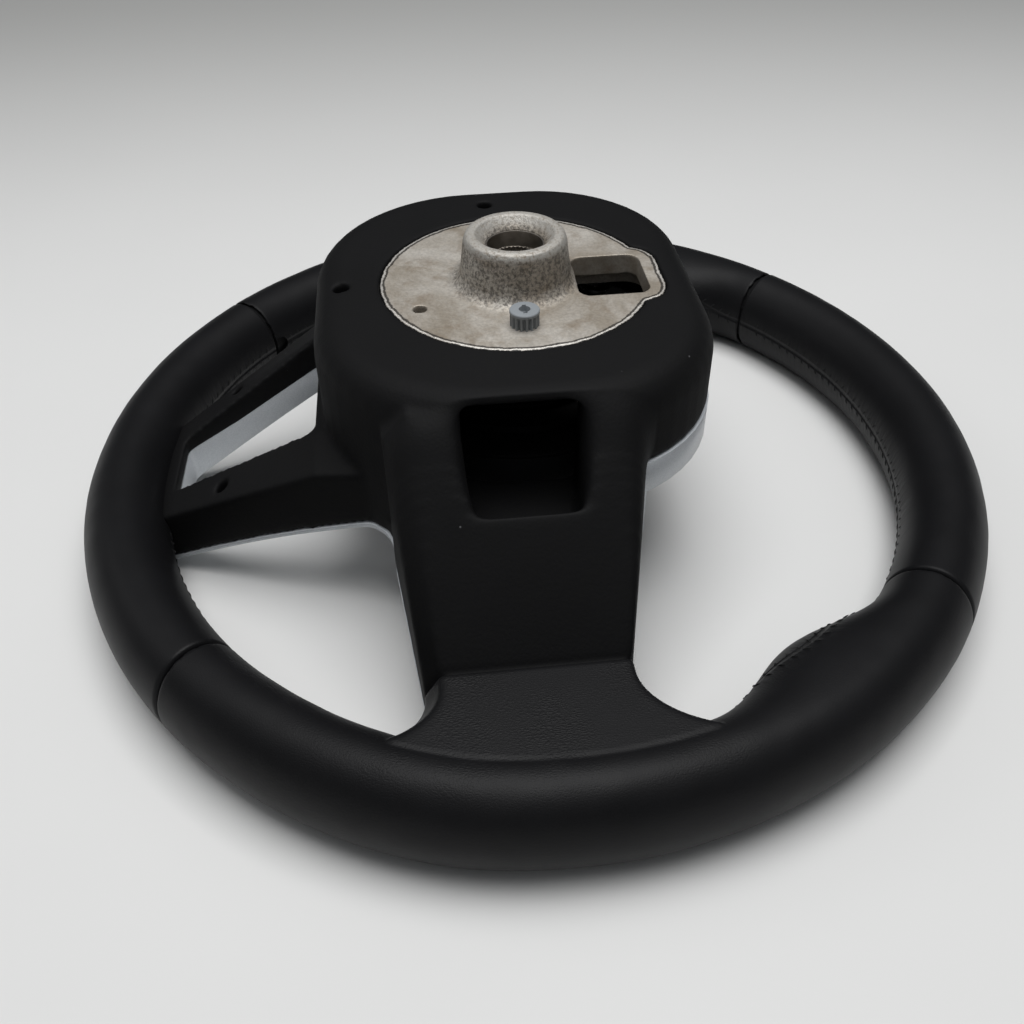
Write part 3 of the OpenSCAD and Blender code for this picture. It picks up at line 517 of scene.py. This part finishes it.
def seams_of(section):
    """The seams of a leather section, in millimetres, on the +X side for the two side sections."""
    if section == "top":
        return [seam_line([section_point(90 + d, 180) for d in range(-37, 38)])]
    if section == "bottom":
        return [seam_line([section_point(d, 180) for d in range(-128, -51)])]
    upper = [section_point(d / 2, seam_turn(d / 2)) for d in range(102, 37, -1)]
    upper += [root_ring(k / 20)[6].lerp(root_ring(k / 20)[7], 0.3) for k in range(9, 0, -1)]
    lower = [section_point(d / 2, 180) for d in range(-101, -55)]
    lower += [root_ring(k / 20)[0].lerp(root_ring(k / 20)[11], 0.3) for k in range(9, 0, -1)]
    return [seam_line(upper), seam_line(lower)]


def sewn_along(lines, tree):
    """Places of the stitches, two rows that slant towards each seam: point, normal and the way the stitch lies."""
    places = []
    for line in lines:
        for i in range(4, len(line) - 4, STITCH):
            at, normal, _, _ = tree.find_nearest(line[i])
            ahead = (line[i + 2] - line[i - 2]).normalized()
            across = normal.cross(ahead).normalized()
            for s in (-1, 1):
                centre, raised, _, _ = tree.find_nearest(at + across * s * ROW_OFF - ahead * 0.4)
                way = across * s * SLANT[0] + ahead * SLANT[1]
                places.append((centre, raised, (way - raised * way.dot(raised)).normalized()))
    return places


def rolled(distance, radius):
    """How far an edge of that radius falls back at a distance from its end."""
    return radius - math.sqrt(max(0.0, radius ** 2 - (radius - distance) ** 2)) if distance < radius else 0.0


def rooted_grip(spans):
    """The grip between two directions with its run into the side spoke, as one soft skin that ends at the spoke."""
    bm = bmesh.new()
    grip_spun(bm, *spans)
    root_lofted(bm)
    bmesh.ops.transform(bm, matrix=Matrix.Scale(MM, 4), verts=bm.verts)
    mesh = through(
        bm,
        ("REMESH", {"mode": "VOXEL", "voxel_size": 0.8 * MM}),
        ("SMOOTH", {"factor": 0.5, "iterations": 24}))
    bm = bmesh.new()
    bm.from_mesh(mesh)
    bmesh.ops.transform(bm, matrix=Matrix.Scale(1 / MM, 4), verts=bm.verts)
    # Only the run itself is cut: the rim's own skin lies further out
    root = {v for v in bm.verts if v.co.x < LEATHER_FROM + 8 and v.co.y < 52 and v.co.xy.length < 146}
    root = list(root) + [g for g in bm.edges[:] + bm.faces[:] if root.issuperset(g.verts)]
    end = bmesh.ops.bisect_plane(
        bm, geom=root, plane_co=(LEATHER_FROM + 0.3, 0, 0), plane_no=(1, 0, 0),
        clear_inner=True)["geom_cut"]
    bmesh.ops.edgeloop_fill(bm, edges=[g for g in end if isinstance(g, bmesh.types.BMEdge)])
    bm.normal_update()
    return bm


def leather_section(name, node, spans, side=1, root=False):
    """One section of the leather, with its creases and its seam painted as attributes, and its stitches."""
    if root:
        bm = rooted_grip(spans)
    else:
        bm = bmesh.new()
        grip_spun(bm, *spans)
    for v in bm.verts:
        direction = direction_of(v.co.x, v.co.y)
        if spans[0] < -90 and direction > 90:
            direction -= 360
        fallen = rolled(min(direction - spans[0], spans[1] - direction) * math.radians(RIM_C), 1.5)
        on_arc = direction if direction > -90 else direction + 360
        turn = turn_of(v.co, on_arc)
        soft = 0.22 * noise.noise(v.co * 0.035) + 0.10 * noise.noise(v.co * 0.11)
        share = 1.0
        if root:
            share = 1 - smoothstep(0.3, 0.8, (section_point(on_arc, turn, 0.0, 0.0) - v.co).length - fallen)
        skin = v.co
        if root and v.co.x < LEATHER_FROM + 3:
            skin = v.co - v.normal * rolled(v.co.x - LEATHER_FROM - 0.3, 2.2)
        v.co = skin.lerp(section_point(on_arc, turn, fallen - soft), share)
        r = math.hypot(v.co.x, v.co.y)
        if root and r < 152 and v.co.z < dish(r):
            v.co.z = dish(r)
    if side < 0:
        bmesh.ops.scale(bm, vec=(-1, 1, 1), verts=bm.verts)
        bmesh.ops.reverse_faces(bm, faces=bm.faces)
    seams = seams_of("side" if root else name.split("_")[1])
    lines = [[Vector((side * p.x, p.y, p.z)) for p in line] for line in seams]
    stitches = sewn_along(lines, BVHTree.FromBMesh(bm))
    known = [p for line in lines for p in line]
    tangents = [
        (line[min(i + 1, len(line) - 1)] - line[max(i - 1, 0)]).normalized()
        for line in lines for i in range(len(line))]
    near = KDTree(len(known))
    for i, p in enumerate(known):
        near.insert(p, i)
    near.balance()
    along, off, crease = [], [], []
    for v in bm.verts:
        _, i, _ = near.find(v.co)
        away = v.co - known[i]
        ahead = away.dot(tangents[i])
        along.append(i + ahead)
        off.append(min(40.0, (away - tangents[i] * ahead).length))
        reach = (1 - smoothstep(150, 186, abs(v.co.x))) * smoothstep(-10, 25, v.co.z)
        crease.append(math.exp(-((v.co.y + 8) / 70) ** 2) * reach if root else 0.0)
    bmesh.ops.transform(bm, matrix=Matrix.Translation((0, 0, FLOOR)) @ Matrix.Scale(MM, 4), verts=bm.verts)
    mesh = bpy.data.meshes.new(name)
    bm.to_mesh(mesh)
    bm.free()
    for p in mesh.polygons:
        p.use_smooth = True
    paint(mesh, "seam_along", along)
    paint(mesh, "seam_off", off)
    paint(mesh, "crease", crease)
    shown(name, mesh, LEATHER, "wheel", [node])
    sewn(name + "_stitches", stitches)


def sewn(name, places):
    """Stitches of black thread at places beside a seam, each a small bent grain of a few dozen faces."""
    grain = bmesh.new()
    lying = Matrix.Rotation(math.pi / 2, 4, "Y")
    bmesh.ops.create_uvsphere(grain, u_segments=6, v_segments=6, radius=1.0, matrix=lying)
    template = bpy.data.meshes.new("grain")
    for v in grain.verts:
        sunk = 0.45 * (1 - v.co.x ** 2) - 0.36
        v.co = Vector((v.co.x * STITCH_LONG, v.co.y * STITCH_THICK, v.co.z * STITCH_THICK + sunk))
    grain.to_mesh(template)
    grain.free()
    bm = bmesh.new()
    for centre, normal, axis in places:
        beside = normal.cross(axis)
        before = len(bm.verts)
        bm.from_mesh(template)
        bm.verts.ensure_lookup_table()
        place = Matrix(((axis.x, beside.x, normal.x, centre.x), (axis.y, beside.y, normal.y, centre.y),
                        (axis.z, beside.z, normal.z, centre.z), (0, 0, 0, 1)))
        bmesh.ops.transform(bm, matrix=place, verts=bm.verts[before:])
    bmesh.ops.transform(bm, matrix=Matrix.Translation((0, 0, FLOOR)) @ Matrix.Scale(MM, 4), verts=bm.verts)
    mesh = bpy.data.meshes.new(name)
    bm.to_mesh(mesh)
    bm.free()
    for p in mesh.polygons:
        p.use_smooth = True
    shown(name, mesh, THREAD, "wheel", [])


def moulded_foam():
    """The foam body, with every edge softened as the mould leaves it, most of all where the spokes leave the casing."""
    bm = bmesh.new()
    bmesh.ops.create_cone(bm, cap_ends=True, segments=96, radius1=0.136, radius2=0.136, depth=0.4)
    bmesh.ops.scale(bm, vec=(1, 1.095, 1), verts=bm.verts)
    bound = cutter(bm)
    mesh = through(
        cad_copy("foam_body"),
        ("BOOLEAN", {"operation": "INTERSECT", "object": bound, "solver": "EXACT"}),
        ("REMESH", {"mode": "VOXEL", "voxel_size": 1.0 * MM}),
        ("SMOOTH", {"factor": 0.5, "iterations": 9}))
    bpy.data.objects.remove(bound)
    bm = bmesh.new()
    bm.from_mesh(mesh)
    for reach, low, times in ARM_ZONES:
        near = [v for v in bm.verts if ARM_FROM < abs(v.co.x) / MM < reach and low < v.co.z / MM + DATUM < ARM_TOP]
        for _ in range(times):
            bmesh.ops.smooth_vert(bm, verts=near, factor=0.5, use_axis_x=True, use_axis_y=True, use_axis_z=True)
    mesh = through(bm, ("DECIMATE", {"ratio": 0.5}))
    for p in mesh.polygons:
        p.use_smooth = True
    shown("hub_casing", mesh, FOAM, "wheel", ["foam_body"])


def hub_casting():
    """The cast hub with fillets between boss, plate and window, and its legs inside the foam."""
    bm = bmesh.new()
    bmesh.ops.create_cone(bm, cap_ends=True, segments=96, radius1=0.062, radius2=0.062, depth=0.4)
    bound = cutter(bm)
    mesh = through(
        cad_copy("armature"),
        ("BOOLEAN", {"operation": "INTERSECT", "object": bound, "solver": "EXACT"}),
        ("REMESH", {"mode": "VOXEL", "voxel_size": 0.5 * MM}),
        ("SMOOTH", {"factor": 0.5, "iterations": 6}),
        ("DECIMATE", {"ratio": 0.5}))
    edge, boss, lip = [], [], []
    for v in mesh.vertices:
        x, y, h = v.co.x / MM, v.co.y / MM, v.co.z / MM + DATUM
        r = math.hypot(x, y)
        dx, dy = abs(x - WINDOW_AT[0]) - WINDOW_HALF[0], abs(y - WINDOW_AT[1]) - WINDOW_HALF[1]
        window = WINDOW_RIM - math.hypot(max(dx, 0), max(dy, 0)) - min(max(dx, dy), 0)
        edge.append(max(DISC_R - r, window) if h > 99 else 9.0)
        boss.append((1 - smoothstep(21, 26, r)) * smoothstep(98, 104, h))
        lip.append(smoothstep(*LIP_H, h))
    for p in mesh.polygons:
        p.use_smooth = True
    paint(mesh, "edge", edge)
    paint(mesh, "boss", boss)
    paint(mesh, "lip", lip)
    shown("cast_hub", mesh, CASTING, "wheel", ["armature"])
    legs = through(
        cad_copy("armature"),
        ("BOOLEAN", {"operation": "DIFFERENCE", "object": bound, "solver": "EXACT"}))
    bpy.data.objects.remove(bound)
    smoothed(legs)
    paint(legs, "edge", [9.0] * len(legs.vertices))
    shown("casting_legs", legs, CASTING, "wheel", ["armature"])


def finished(node, body, material, bevel=0.3):
    """A rigid CAD piece with its edges broken as they are on the real one."""
    bm = cad_copy(node)
    bmesh.ops.dissolve_limit(bm, angle_limit=math.radians(0.6), verts=bm.verts, edges=bm.edges)
    mesh = through(bm, ("BEVEL", {
        "width": bevel * MM, "segments": 2, "limit_method": "ANGLE", "angle_limit": math.radians(38), "profile": 0.5}))
    smoothed(mesh, 30)
    shown(node + "_finished", mesh, material, body, [node])


moulded_foam()
hub_casting()
leather_section("leather_top_wrap", "leather_top", (90 - UPPER_SEAM, 90 + UPPER_SEAM))
leather_section("leather_bottom_wrap", "leather_bottom", (-90 - LOWER_SEAM, LOWER_SEAM - 90))
leather_section("leather_left_wrap", "leather_left", SIDE_SPAN, 1, True)
leather_section("leather_right_wrap", "leather_right", SIDE_SPAN, -1, True)

# Turned steel, greyed by oil
STEEL = plain_metal("turned_steel", "#7d7872", "#a8a39c", 0.34, 1.5)
# Cover plastic with a leather-like grain, dull black
PAD = grained("grained_cover_plastic", "#101112", "#161718", 0.62, 0.7, 0.08)
# Soft-touch key plastic, a shade lighter than what is round it
KEY = grained("soft_key_plastic", "#1a1b1e", "#232427", 0.5, 0.5, 0.03)
# Moulded frame of the switches, black
POD = grained("pod_plastic", "#0e0f10", "#141517", 0.55, 0.6, 0.05)
# Glossy black surface that shows the room's lights
TOUCH = grained("polished_touch_plastic", "#0b0b0d", "#0f0f11", 0.16, 6.0, 0.004)
# Glass-filled nylon, blue grey and satin
PEG = grained("glass_filled_nylon", "#7c8185", "#8f9498", 0.5, 0.6, 0.03)
# Pressed sheet and canister under a black coating
SHEET = grained("black_coated_sheet", "#0c0c0d", "#121213", 0.5, 3.0, 0.01)
CANISTER = grained("black_coated_canister", "#0c0c0d", "#131314", 0.42, 2.0, 0.01)
# Ground pins, bright; drawn spring wire, a little duller; zinc-plated screws, dark
GROUND = plain_metal("ground_steel_pin", "#b4b7ba", "#c8cbcd", 0.22, 1.0)
SPRING = plain_metal("patented_spring_wire", "#8f9397", "#b0b4b8", 0.3, 1.0)
SCREW = plain_metal("zinc_plated_screw", "#2c2e30", "#47494c", 0.4, 1.0)
CLOTH = woven_nylon()

finished("splined_insert", "wheel", STEEL, 0.12)
finished("bezel", "wheel", TRIM, 0.25)
finished("bezel_screws", "wheel", SCREW, 0.15)
finished("guide_peg", "wheel", PEG, 0.15)
finished("horn_pad", "horn_module", PAD, 0.5)
finished("airbag_can", "horn_module", SHEET)
finished("airbag_cushion", "horn_module", CLOTH, 1.5)
finished("inflator", "horn_module", CANISTER)
finished("guide_pins", "horn_module", GROUND)
for side in ("left", "right"):
    finished("pod_" + side, "wheel", POD)
    finished("touch_pad_" + side, "touch_pad_" + side, TOUCH)
    for key in ("rocker_", "upper_key_", "lower_key_"):
        finished(key + side, key + side, KEY)
for node, material in (("horn_springs", SPRING), ("rim_core", CASTING), ("rim_foam", FOAM)):
    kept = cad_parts[node].data
    kept.materials.clear()
    kept.materials.append(material)


def studio():
    """Pale floor under two soft lamps, in a room that is grey at the horizon and light overhead."""
    bm = bmesh.new()
    place = Matrix.Translation((-1.0, 0, FLOOR)) @ Matrix.Scale(3.0, 4)
    bmesh.ops.create_grid(bm, x_segments=1, y_segments=1, size=1.0, matrix=place)
    mesh = bpy.data.meshes.new("floor")
    bm.to_mesh(mesh)
    bm.free()
    made, tree, shader, place = finish("matt_floor", 0.75, Specular_IOR_Level=0.3)
    tone = blended(tree, noise_at(tree, place, 60.0, 4.0), linear("#dcdcdb"), linear("#e0e0df"))
    # The paper falls off into shade behind the wheel
    far = add(tree, "ShaderNodeSeparateXYZ", {0: place}).outputs[0]
    shade = sums(tree, "SUBTRACT", 1.0, between(tree, far, -0.85, -0.12))
    tree.links.new(blended(tree, shade, tone, linear("#b4b4b2")), shader.inputs["Base Color"])
    mesh.materials.append(made)
    floor = bpy.data.objects.new("floor", mesh)
    bpy.context.scene.collection.objects.link(floor)

    world = bpy.data.worlds.new("studio")
    world.use_nodes = True
    tree = world.node_tree
    place = add(tree, "ShaderNodeTexCoord").outputs["Generated"]
    up = add(tree, "ShaderNodeSeparateXYZ", {0: place}).outputs[2]
    level = between(tree, up, 0.35, 1.0)
    back = tree.nodes["Background"]
    tree.links.new(blended(tree, level, linear("#55575a"), linear("#f4f6f8")), back.inputs["Color"])
    back.inputs["Strength"].default_value = WORLD_LEVEL
    bpy.context.scene.world = world

    for name, place, aim, size, power in (
        ("overhead_softbox", (0.05, 0.05, 1.25), (0, 0, 0), 1.0, OVERHEAD_WATTS),
        ("side_softbox", (-0.5, -1.3, 0.9), (0, 0, 0), 0.8, SIDE_WATTS),
    ):
        lamp = bpy.data.lights.new(name, "AREA")
        lamp.shape = "SQUARE"
        lamp.size = size
        lamp.energy = power
        made = bpy.data.objects.new(name, lamp)
        made.location = place
        made.rotation_euler = (Vector(aim) - Vector(place)).to_track_quat("-Z", "Y").to_euler()
        bpy.context.scene.collection.objects.link(made)


def camera():
    """The photograph's view."""
    ahead = Vector(AHEAD).normalized()
    right = ahead.cross(Vector((0, 0, 1))).normalized()
    up = right.cross(ahead)
    c, s = math.cos(ROLL), math.sin(ROLL)
    right, up = right * c + up * s, up * c - right * s
    eye = Vector((EYE[0], EYE[1], EYE[2] - DATUM)) * MM
    lens = bpy.data.cameras.new("camera")
    lens.sensor_width = SENSOR
    lens.lens = SENSOR * FOCAL / PICTURE
    lens.clip_start = 0.01
    made = bpy.data.objects.new("camera", lens)
    made.matrix_world = Matrix((
        (right.x, up.x, -ahead.x, eye.x), (right.y, up.y, -ahead.y, eye.y),
        (right.z, up.z, -ahead.z, eye.z), (0, 0, 0, 1)))
    bpy.context.scene.collection.objects.link(made)
    bpy.context.scene.camera = made


studio()
camera()
bpy.context.scene.view_settings.view_transform = "Standard"
